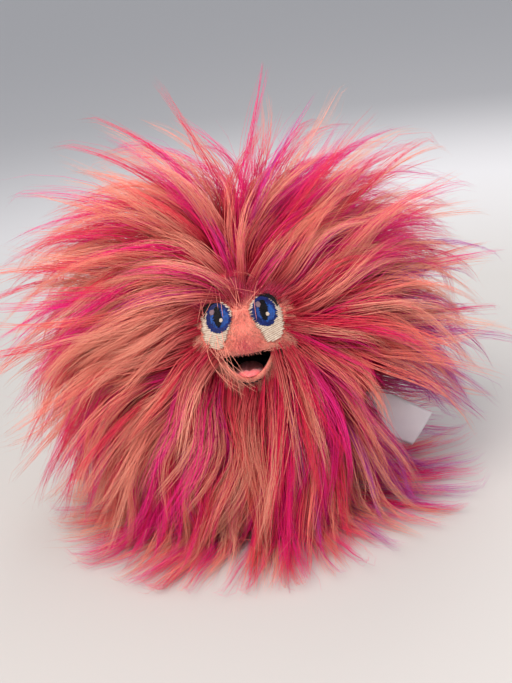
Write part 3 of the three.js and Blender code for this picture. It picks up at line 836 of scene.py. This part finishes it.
def white_outline(side, x, angle, half_width, half_height):
    """The outline of an eye white round its iris: half an ellipse above the iris's middle, and
    below it a long shape that narrows, mostly from its inner edge, to a round end."""
    drop = math.radians(angle - fold_angle(node_points("eye_white_right")).min()) * FACE_RADIUS
    inner, outer = half_width + 0.8 * MM, half_width + 3.2 * MM
    turn = np.linspace(0, math.pi, 25)
    across = np.where(np.cos(turn) > 0, outer, inner) * np.cos(turn)
    top = np.stack([across, (half_height + 0.6 * MM) * np.sin(turn)], -1)
    depth = np.linspace(0, 1, 25)[1:]
    inner_edge = np.stack([-inner + 9.0 * MM * depth ** 1.2, -drop * depth], -1)
    outer_edge = np.stack([outer - 5.0 * MM * depth ** 3, -drop * depth * (1 - 0.12 * depth ** 6)], -1)
    outline = np.concatenate([top, inner_edge, outer_edge[::-1]])
    return outline * [side, 1] + [x, math.radians(angle) * FACE_RADIUS]


def ellipse_outline(x, angle, half_width, half_height):
    """An ellipse on the unrolled face, in metres, round a sideways place and an angle in degrees."""
    turn = np.linspace(0, 2 * math.pi, 48, endpoint=False)
    ring = np.stack([half_width * np.cos(turn), half_height * np.sin(turn)], -1)
    return ring + [x, math.radians(angle) * FACE_RADIUS]


def satin_rows(outline, direction, height, rng, spacing, radius, ragged):
    """Rows of thread that fill an outline. The outline is in metres on the unrolled face, and the
    rows run at a direction in degrees. spacing, radius and ragged are in mm. Returns paths and
    radii for tapered_tubes."""
    turn = math.radians(direction)
    along = np.array([math.cos(turn), math.sin(turn)])
    across = np.array([-along[1], along[0]])
    run, level = outline @ along, outline @ across
    after_run, after_level = np.roll(run, -1), np.roll(level, -1)
    levels = np.arange(level.min() + spacing * MM / 2, level.max(), spacing * MM)
    steps = np.linspace(0, 1, 12)
    paths = []
    for index, value in enumerate(levels):
        crossing = (level <= value) != (after_level <= value)
        share = (value - level[crossing]) / (after_level[crossing] - level[crossing])
        hits = run[crossing] + share * (after_run[crossing] - run[crossing])
        start = hits.min() + rng.normal(0, ragged) * MM
        end = hits.max() + rng.normal(0, ragged) * MM
        if end - start < 0.6 * MM:
            continue
        flat = (start + (end - start) * steps)[:, None] * along + value * across
        tuck = 0.7 * MM * (2 * steps - 1) ** 12
        lifted = height + (0.16 * MM if index % 2 else 0) - tuck
        paths.append(on_face(flat[:, 0], np.degrees(flat[:, 1] / FACE_RADIUS), lifted))
    paths = np.array(paths)
    radii = np.full((len(paths), len(steps) - 1), radius * MM)
    radii[:, 0] *= 0.35
    return paths, radii


def add_stitches(name, material, slot, replaced, paths, radii, body="upper_jaw", seed=7):
    """Threads as one piece."""
    points, quads, triangles = tapered_tubes(paths, radii, np.random.default_rng(seed), sides=6)
    place(add_mesh(name, points, quads, triangles, material=material), body, slot, *replaced)


def add_eye(side_name, side):
    """One embroidered eye: white, iris with a paler arc, pupil, two highlights, lid and lashes."""
    rng = np.random.default_rng(50 + side)
    x, angle, half_width, half_height = face_patch(f"iris_{side_name}")
    _, _, pupil_width, pupil_height = face_patch(f"pupil_{side_name}")
    spark_x, spark_angle, spark_size, _ = face_patch(f"highlight_{side_name}")
    white = white_outline(side, x, angle, half_width, half_height)
    iris = ellipse_outline(x, angle, half_width, half_height)
    arc = ellipse_outline(x + 0.9 * MM, angle - 0.5, half_width * 0.66, half_height * 0.70)
    pupil = ellipse_outline(x - 0.3 * MM, angle + 0.4, pupil_width, pupil_height * 1.35)
    spark = ellipse_outline(spark_x, spark_angle, spark_size, spark_size)
    glow = ellipse_outline(x - 3.4 * MM, angle + 3.6, 1.9 * MM, 1.9 * MM)
    satin = f"{side_name}_satin"
    # each layer's piece, finish, thread, outline and rows' direction in degrees, then in mm its
    # height, its rows' spacing, the thread's radius and how ragged the rows' ends are
    for name, slot, thread, outline, direction, height, spacing, radius, ragged in (
            (f"eye_white_{satin}", "white_thread", SHADED_WHITE_THREAD, white, 24 * side, 0.35, 1.25, 0.66, 0.4),
            (f"iris_{satin}", "blue_thread", BLUE_THREAD, iris, 8, 0.95, 0.6, 0.40, 0.45),
            (f"iris_{side_name}_arc", "blue_thread", PALE_THREAD, arc, 80, 1.35, 0.6, 0.40, 0.5),
            (f"pupil_{satin}", "black_thread", BLACK_THREAD, pupil, 10, 1.75, 0.55, 0.40, 0.3),
            (f"highlight_{satin}", "white_thread", SHADED_WHITE_THREAD, spark, 0, 2.2, 0.5, 0.32, 0.1),
            (f"soft_highlight_{side_name}", "white_thread", DIM_THREAD, glow, 0, 2.1, 0.5, 0.32, 0.2)):
        paths, radii = satin_rows(outline, direction, height * MM, rng, spacing, radius, ragged)
        replaced = [name.removesuffix("_satin")] if name.endswith("_satin") else []
        add_stitches(name, thread, slot, replaced, paths, radii)
    add_lid(side_name, side, x, angle, half_width, half_height, rng)


def add_lid(side_name, side, x, angle, half_width, half_height, rng):
    """A black line over the outer top of the iris, with three lashes at its outer end."""
    steps, line_threads, lashes, lash_threads = np.linspace(0, 1, 12), 6, 3, 3
    paths = []
    for strand in range(line_threads):
        bearing = np.radians(np.linspace(100, 18, 12) + rng.normal(0, 2))
        grow = 1.02 + 0.045 * strand * np.sin(math.pi * steps) + rng.normal(0, 0.01)
        across = x + side * half_width * grow * np.cos(bearing)
        up = angle + np.degrees(half_height * grow * np.sin(bearing) / FACE_RADIUS)
        paths.append(on_face(across, up, 1.2 * MM))
    for lash in range(lashes):
        for _ in range(lash_threads):
            bearing = math.radians(64 - 22 * lash)
            reach = (steps - 0.1) * (4.6 + rng.normal(0, 0.4)) * MM
            start_x = x + side * half_width * 1.05 * math.cos(bearing) + rng.normal(0, 0.25) * MM
            start_up = half_height * 1.05 * math.sin(bearing)
            lean = math.radians(78 - 16 * lash) + rng.normal(0, 0.05)
            across = start_x + side * reach * math.cos(lean)
            up = angle + np.degrees((start_up + reach * math.sin(lean)) / FACE_RADIUS)
            paths.append(on_face(across, up, 1.1 * MM))
    radii = np.full((len(paths), len(steps) - 1), 0.36 * MM)
    radii[line_threads:] *= np.linspace(1, 0.3, len(steps) - 1)
    add_stitches(f"lid_line_{side_name}_satin", BLACK_THREAD, "black_thread", [f"lid_line_{side_name}"],
                 np.array(paths), radii)


def inside_outline(outline, flat):
    """Whether flat points are inside an outline."""
    after = np.roll(outline, -1, 0)
    across, up = flat[:, None, 0], flat[:, None, 1]
    spans = (outline[:, 1] <= up) != (after[:, 1] <= up)
    rise = after[:, 1] - outline[:, 1]
    slope = (after[:, 0] - outline[:, 0]) / np.where(rise == 0, 1e-9, rise)
    before = across < outline[:, 0] + (up - outline[:, 1]) * slope
    return (spans & before).sum(1) % 2 == 1


def add_plush(name, roots, normals, flow, length, tones, seed):
    """Short plush hairs that lean along a flow."""
    rng = np.random.default_rng(seed)
    count, rings, thickness = len(roots), 4, 0.13 * MM
    lean = unit(normals + flow * rng.uniform(0.7, 1.6, (count, 1)) + rng.normal(0, 0.25, (count, 3)))
    bend = unit(lean + flow * 0.8 + rng.normal(0, 0.2, (count, 3)))
    reach = (length * rng.uniform(0.6, 1.2, count))[:, None, None]
    steps = np.linspace(0, 1, rings)[None, :, None]
    paths = roots[:, None] + reach * (lean[:, None] * steps + (bend - lean)[:, None] * steps ** 2 / 2)
    radii = thickness * np.linspace(1, 0.5, rings - 1)[None] * rng.uniform(0.8, 1.3, (count, 1))
    points, quads, triangles = tapered_tubes(paths, radii, rng)
    uvs, cells = tube_uvs(np.clip(tones + rng.normal(0, 0.07, count), 0.01, 0.99), rings)
    return add_mesh(name, points, quads, triangles, uvs, cells, PLUSH)


def add_face_plush():
    """Short plush over the face's ground, except under the eyes. Longer and crimson at the brow."""
    rng = np.random.default_rng(60)
    hairs = 11500
    sideways = rng.uniform(-31, 31, hairs) * MM
    angle = rng.uniform(19.5, 66, hairs)
    flat = np.stack([sideways, np.radians(angle) * FACE_RADIUS], -1)
    clear = np.ones(hairs, bool)
    for side, side_name in ((-1, "left"), (1, "right")):
        clear &= ~inside_outline(white_outline(side, *face_patch(f"iris_{side_name}")), flat)
    sideways, angle = sideways[clear], angle[clear]
    roots = on_face(sideways, angle, -1.2 * MM)
    normals = unit(roots - FOLD)
    away = np.stack([np.sign(sideways) * smooth(2 * MM, 14 * MM, np.abs(sideways)), 0 * angle,
                     np.where(angle > 44, 1.0, -0.5)], -1)
    flow = flattened(away, normals)
    brow = smooth(44, 54, angle + 2 * smooth(14 * MM, 26 * MM, np.abs(sideways)))
    bridge = bell(sideways, 0, 5 * MM) * smooth(34, 44, angle)
    length = (2.6 + 9 * brow + 1.5 * smooth(18 * MM, 28 * MM, np.abs(sideways))) * MM
    nose_tip = bell(sideways, 0, 9 * MM) * bell(angle, MUZZLE_ANGLE - 4, 5)
    tones = 0.06 + 0.34 * bridge + 0.80 * brow + 0.60 * nose_tip
    piece = add_plush("face_plush_pile", roots, normals, flow, length, tones, 61)
    place(piece, "upper_jaw", "face_plush")


def add_stray_hairs():
    """Single long hairs that loop over the brow and the eyes, and a few over the mouth's corner."""
    rng = np.random.default_rng(70)
    over_brow, over_mouth, rings = 20, 12, 16
    count = over_brow + over_mouth
    steps = np.linspace(0, 1, rings)
    paths = []
    for hair in range(count):
        if hair < over_brow:
            start, end = rng.uniform(-34, 34), rng.uniform(-30, 30)
            top, bottom = rng.uniform(62, 82), rng.uniform(34, 60)
        else:
            start, end = rng.uniform(-26, -14), rng.uniform(-14, 4)
            top, bottom = rng.uniform(26, 34), rng.uniform(-6, 6)
        loop = rng.normal(0, 5) * np.sin(math.pi * steps)
        sideways = (start + (end - start) * steps ** 1.4 + loop) * MM
        angle = top + (bottom - top) * steps
        height = (2.0 + rng.uniform(2, 6) * np.sin(math.pi * steps)) * MM
        paths.append(on_face(sideways, angle, height))
    radii = np.full((count, rings - 1), 0.15 * MM)
    points, quads, triangles = tapered_tubes(np.array(paths), radii, rng)
    uvs, cells = tube_uvs(rng.uniform(0.0, 0.3, count), rings)
    uvs[:, 1] = 0.7
    place(add_mesh("stray_hairs", points, quads, triangles, uvs, cells, FUR), "upper_jaw", "peach_fur")


# ---- the mouth ----

LIP_ANGLE, LIP_RISE, LIP_HALF_SPAN = 5.0, 14.0, 18.0 * MM
UPPER_ANGLE, LOWER_ANGLE = 23.0, 3.0  # the planes of the CAD's two mouth halves, in degrees


def lip_angle(sideways):
    """The lower lip's angle about the fold: low in the middle, up to the corners of the smile."""
    return LIP_ANGLE + LIP_RISE * np.minimum(np.abs(sideways) / LIP_HALF_SPAN, 1) ** 2.4


def lip_radius(sideways):
    """The lip's distance from the fold, less towards the corners of the mouth."""
    return FACE_RADIUS - 3.4 * MM - 3.2 * MM * np.minimum(np.abs(sideways) / LIP_HALF_SPAN, 1.2) ** 2


def chin_radius(sideways):
    """The chin's distance from the fold, just behind the lip."""
    return np.minimum(lip_radius(sideways), FACE_RADIUS - 5.6 * MM) - 0.6 * MM


def add_lower_lip():
    """A soft rolled edge round the lower half of the smile."""
    count = 61
    sideways = np.linspace(-LIP_HALF_SPAN, LIP_HALF_SPAN, count)
    middle = about_fold(sideways, lip_angle(sideways), lip_radius(sideways))
    along = unit(np.gradient(middle, axis=0))
    outward = flattened(unit(middle - FOLD), along)
    upward = np.cross(outward, along)
    uneven = 1 + 0.05 * np.sin(np.arange(count) * 1.7)
    thick = (1.5 - 0.4 * (sideways / LIP_HALF_SPAN) ** 2) * MM * uneven
    lip = add_roll("lip_roll", middle, outward, upward, thick, SKIN)
    place(lip, "lower_jaw", "face_plush", "lower_lip")
    rng = np.random.default_rng(80)
    hairs = 1500
    spot = rng.integers(0, count, hairs)
    around = rng.uniform(-1.9, 1.2, hairs)[:, None]
    normals = outward[spot] * np.cos(around) + upward[spot] * np.sin(around)
    roots = middle[spot] + normals * thick[spot, None] * 0.9
    roots = roots + along[spot] * rng.uniform(-0.4, 0.4, (hairs, 1)) * MM
    flow = unit(-upward[spot] + 0.3 * outward[spot])
    fuzz = add_plush("lip_plush", roots, normals, flow, 1.6 * MM, np.full(hairs, 0.12), 81)
    place(fuzz, "lower_jaw", "face_plush")


def add_chin_stitches():
    """The dark stitches that hold the lip's lower edge."""
    steps = np.linspace(0, 1, 8)
    starts = np.linspace(-8, 5, 6) * MM
    paths = []
    for start in starts:
        sideways = start + 2.2 * MM * steps
        drop = 1.6 + 0.5 * steps
        paths.append(about_fold(sideways, lip_angle(sideways) - drop, lip_radius(sideways) + 1.9 * MM))
    radii = np.full((len(starts), len(steps) - 1), 0.45 * MM)
    add_stitches("lip_stitches", BLACK_THREAD, "black_thread", [], np.array(paths), radii,
                 body="lower_jaw", seed=83)


def add_chin_skin():
    """The chin's cloth, from the lip down to the bib, tucked behind the face at its sides."""
    chin = node_points("chin_fur")
    half_width, bottom = chin[:, 0].max() - 3 * MM, fold_angle(chin).min()
    sideways, share = np.meshgrid(np.linspace(-half_width, half_width, 61), np.linspace(0, 1, 33))
    angle = bottom + (lip_angle(sideways) - 0.8 - bottom) * share
    outside = about_fold(sideways, angle, chin_radius(sideways))
    inside = about_fold(sideways, angle, chin_radius(sideways) - 1.2 * MM)
    skin = place(add_thick_sheet("chin_skin", outside, inside, SKIN), "lower_jaw", "face_plush")
    rng = np.random.default_rng(85)
    hairs = 3200
    spread = rng.uniform(-26, 26, hairs) * MM
    height = lip_angle(spread) - rng.uniform(0.8, 13, hairs)
    roots = about_fold(spread, height, chin_radius(spread) - 0.3 * MM)
    normals = unit(roots - FOLD)
    down = np.stack([np.sign(spread) * 0.3, 0 * spread, np.full(hairs, -1.0)], -1)
    flow = flattened(down, normals)
    fuzz = add_plush("chin_plush", roots, normals, flow, 4.2 * MM, np.full(hairs, 0.15), 86)
    place(fuzz, "lower_jaw", "face_plush")


def mouth_half(name, tilt):
    """How a CAD piece lies over the plane at this angle through the fold: its half width, its
    furthest and nearest reach, and its lowest and highest levels."""
    points = node_points(name) - FOLD
    turn = math.radians(tilt)
    forward = -points[:, 1] * math.cos(turn) + points[:, 2] * math.sin(turn)
    level = points[:, 1] * math.sin(turn) + points[:, 2] * math.cos(turn)
    return np.abs(points[:, 0]).max(), forward.max(), forward.min(), level.min(), level.max()


def over_half(sideways, forward, level, tilt):
    """Points over a mouth half's plane."""
    turn = math.radians(tilt)
    return np.stack([sideways + 0 * forward, FOLD[1] - forward * math.cos(turn) + level * math.sin(turn),
                     FOLD[2] + forward * math.sin(turn) + level * math.cos(turn)], -1)


def add_mouth_linings():
    """The black lining of both halves, one folded cloth in the real puppet, and their boards."""
    ring, spoke = np.meshgrid(np.linspace(0.02, 1, 17), np.linspace(0, math.pi, 49), indexing="ij")
    for half, tilt in (("upper", UPPER_ANGLE), ("lower", LOWER_ANGLE)):
        half_width, length, back, low, high = mouth_half(f"{half}_mouth_lining", tilt)
        sideways = half_width * ring * np.cos(spoke)
        forward = back + (length - back) * ring * np.sin(spoke)
        waves = 1 + np.sin(forward / MM * 0.5 + 2.0 * np.cos(sideways / MM * 0.21))
        wrinkle = 0.3 * MM * waves * (1 - ring ** 6)
        upper = half == "upper"
        top = over_half(sideways, forward, high - (0 if upper else wrinkle), tilt)
        bottom = over_half(sideways, forward, low + (wrinkle if upper else 0), tilt)
        lining = add_thick_sheet(f"{half}_lining_cloth", top, bottom, LINING)
        place(lining, f"{half}_jaw", "mouth_lining", f"{half}_mouth_lining")
        board = frame["nodes"][f"{half}_mouth_plate"].data
        board.materials.clear()
        board.materials.append(BOARD)


def add_tongue():
    """A felt tongue with a crease along it and a tip that turns up on the lip."""
    half_width, reach, back, low, high = mouth_half("tongue", LOWER_ANGLE)
    over_lip, tip_lift, crease = 9.0 * MM, 4.2 * MM, 1.1 * MM
    length = reach + over_lip
    ring, spoke = np.meshgrid(np.linspace(0.02, 1, 13), np.linspace(0, 2 * math.pi, 49), indexing="ij")
    sideways = half_width * ring * np.cos(spoke)
    forward = (length + back) / 2 + (length - back) / 2 * ring * np.sin(spoke)
    lift = tip_lift * smooth(0.1, 0.8, ring * np.sin(spoke))
    crown = (1 - ring ** 4) * 1.4 * MM - crease * bell(sideways, 0, 1.4 * MM) * (1 - ring ** 3)
    top = over_half(sideways, forward, high + crown + lift - 0.8 * MM * ring ** 6, LOWER_ANGLE)
    bottom = over_half(sideways, forward, low + lift, LOWER_ANGLE)
    place(add_thick_sheet("tongue_pad", top, bottom, TONGUE), "lower_jaw", "tongue_felt", "tongue")


def add_fold():
    """The lining's fold at the back of the mouth, gathered across its width."""
    low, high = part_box("mouth_fold")
    count = 61
    middle = np.tile(FOLD, (count, 1))
    middle[:, 0] = np.linspace(low[0], high[0], count)
    thick = (high[2] - low[2]) / 2 * (0.86 + 0.10 * np.sin(np.arange(count) * 1.3))
    outward, upward = np.tile(FRONT, (count, 1)), np.tile(UP, (count, 1))
    piece = add_roll("gathered_fold", middle, outward, upward, thick, LINING, around=16)
    place(piece, "shell", "mouth_lining", "mouth_fold")


# ---- inside: sleeve, cuff, pockets and stuffing ----

def rumpled(node, name, material, push, longest):
    """A CAD node's shape cut into faces no longer than this and pushed about by a smooth field."""
    shape = bmesh.new()
    shape.from_mesh(frame["nodes"][node].data)
    bmesh.ops.remove_doubles(shape, verts=shape.verts, dist=0.01 * MM)
    for _ in range(6):
        long_edges = [edge for edge in shape.edges if edge.calc_length() > longest]
        if not long_edges:
            break
        bmesh.ops.subdivide_edges(shape, edges=long_edges, cuts=1)
        bmesh.ops.triangulate(shape, faces=[face for face in shape.faces if len(face.verts) > 3])
    points = np.array([vertex.co[:] for vertex in shape.verts])
    for vertex, moved in zip(shape.verts, points + push(points)):
        vertex.co = moved
    mesh = bpy.data.meshes.new(name)
    shape.to_mesh(mesh)
    shape.free()
    mesh.polygons.foreach_set("use_smooth", np.ones(len(mesh.polygons), bool))
    mesh.materials.append(material)
    piece = bpy.data.objects.new(name, mesh)
    bpy.context.scene.collection.objects.link(piece)
    return piece


def lumps(points, seed, depth, size):
    """A smooth push in every direction, of about this depth, over lumps of about this size."""
    rng = np.random.default_rng(seed)
    waves = rng.normal(size=(3, 3, 7)) / size
    phases = rng.uniform(0, 6.28, (3, 1, 7))
    pushes = [np.sin(points @ waves[axis] + phases[axis]).sum(1) for axis in range(3)]
    return np.stack(pushes, 1) * depth / 3


def add_stuffing():
    """Lumpy wadding in each pad, kept inside its cover."""
    for seed, node in enumerate(("stuffing_crown", "stuffing_back", "stuffing_left", "stuffing_right")):
        middle = node_points(node).mean(0)

        def push(points):
            inward = unit(middle - points)
            return inward * (1.2 * MM + np.abs(lumps(points, 90 + seed, 1.6 * MM, 9 * MM))[:, :1])

        pad = rumpled(node, f"{node}_wadding", WADDING, push, 7 * MM)
        place(pad, "shell", slots[node], node)


def add_sleeve():
    """The sleeve's cloth in soft upright folds, its hem in ribs, and the two pockets, rumpled."""
    low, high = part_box("cuff_hem")
    axis = np.array([0, (low[1] + high[1]) / 2, 0])
    rim = high[2]

    def folds(points):
        spoke = (points - axis) * [1, 1, 0]
        bearing = np.arctan2(spoke[:, 1], spoke[:, 0])
        height = points[:, 2]
        above = smooth(rim, rim + 20 * MM, height)
        wave = np.sin(9 * bearing + 1.5 * np.sin(height / (17 * MM)))
        wave = wave + 0.6 * np.sin(4 * bearing + height / (23 * MM))
        return unit(spoke) * (-0.7 * MM + 0.55 * MM * wave * above)[:, None]

    def ribs(points):
        spoke = (points - axis) * [1, 1, 0]
        bearing = np.arctan2(spoke[:, 1], spoke[:, 0])
        middle = unit(spoke) * (low[0] + 2 * MM) * -1
        outside = np.sign(((spoke - middle) * spoke).sum(1))
        round_edge = smooth(rim - 3 * MM, rim, points[:, 2]) + 1 - smooth(0, 3 * MM, points[:, 2])
        inward = 0.45 * MM * (1 + np.cos(72 * bearing)) / 2 + 1.2 * MM * round_edge
        return -unit(spoke) * (inward * outside)[:, None]

    def rumple(points):
        return lumps(points, 97, 0.35 * MM, 7 * MM)

    round_sleeve = 2 * math.pi * high[0]
    for node, body, name, material, push, longest, width, rests_on in (
            ("hand_sleeve", "shell", "sleeve_cloth", SLEEVE, folds, 5 * MM,
             round_sleeve, "stuffing_back"),
            ("cuff_hem", "shell", "ribbed_cuff", CUFF, ribs, 2 * MM, round_sleeve, "hand_sleeve"),
            ("finger_pocket", "upper_jaw", "finger_pocket_cloth", SLEEVE, rumple, 4 * MM,
             2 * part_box("finger_pocket")[1][0], "upper_mouth_plate"),
            ("thumb_pocket", "lower_jaw", "thumb_pocket_cloth", SLEEVE, rumple, 4 * MM,
             2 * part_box("thumb_pocket")[1][0], "lower_mouth_plate")):
        piece = place(rumpled(node, name, material, push, longest), body, slots[node], node)


# ---- the care label ----

def add_label():
    """A blank satin ribbon folded in a loop, a little bowed as it leaves the seam."""
    hinge = np.array(joints["label_flex"]["pos_m"])
    seam = unit(np.array(joints["label_flex"]["axis"]))
    along = unit(np.cross(FRONT, seam))
    along = along * np.sign(along[0])
    points = node_points("care_label") - hinge
    reach, half_width = (points @ along).max(), np.abs(points @ seam).max()
    outward = np.linspace(0, 2, 46)
    there = np.where(outward < 1, outward, 2 - outward)
    side = np.where(outward < 1, 1, -1)
    from_hinge, thickness = 2 * MM, 0.24 * MM
    run = from_hinge + (reach - from_hinge - 0.6 * MM) * there
    arch = np.sin(math.pi * there)
    bow = 2.2 * MM * arch + side * (arch + 0.35 * (1 - there ** 8)) * MM
    across = np.linspace(-half_width, half_width, 15)
    curl = 1.4 * MM * (across / half_width) ** 2
    height = bow[:, None] - curl[None] * there[:, None]
    surface = hinge + run[:, None, None] * along + across[None, :, None] * seam
    surface = surface + height[..., None] * FRONT
    half_thick = np.cross(unit(np.gradient(surface, axis=0)), seam) * thickness / 2
    ribbon = add_thick_sheet("satin_label_loop", surface + half_thick, surface - half_thick, SATIN)
    place(ribbon, "label", "satin_label", "care_label")


add_camera()
add_stage()
add_shell_fur()
add_face_fur()
add_chin_fur()
add_face_skin()
add_eye("left", -1)
add_eye("right", 1)
add_face_plush()
add_stray_hairs()
add_lower_lip()
add_chin_stitches()
add_chin_skin()
add_mouth_linings()
add_tongue()
add_fold()
add_backing()
add_stuffing()
add_sleeve()
add_label()
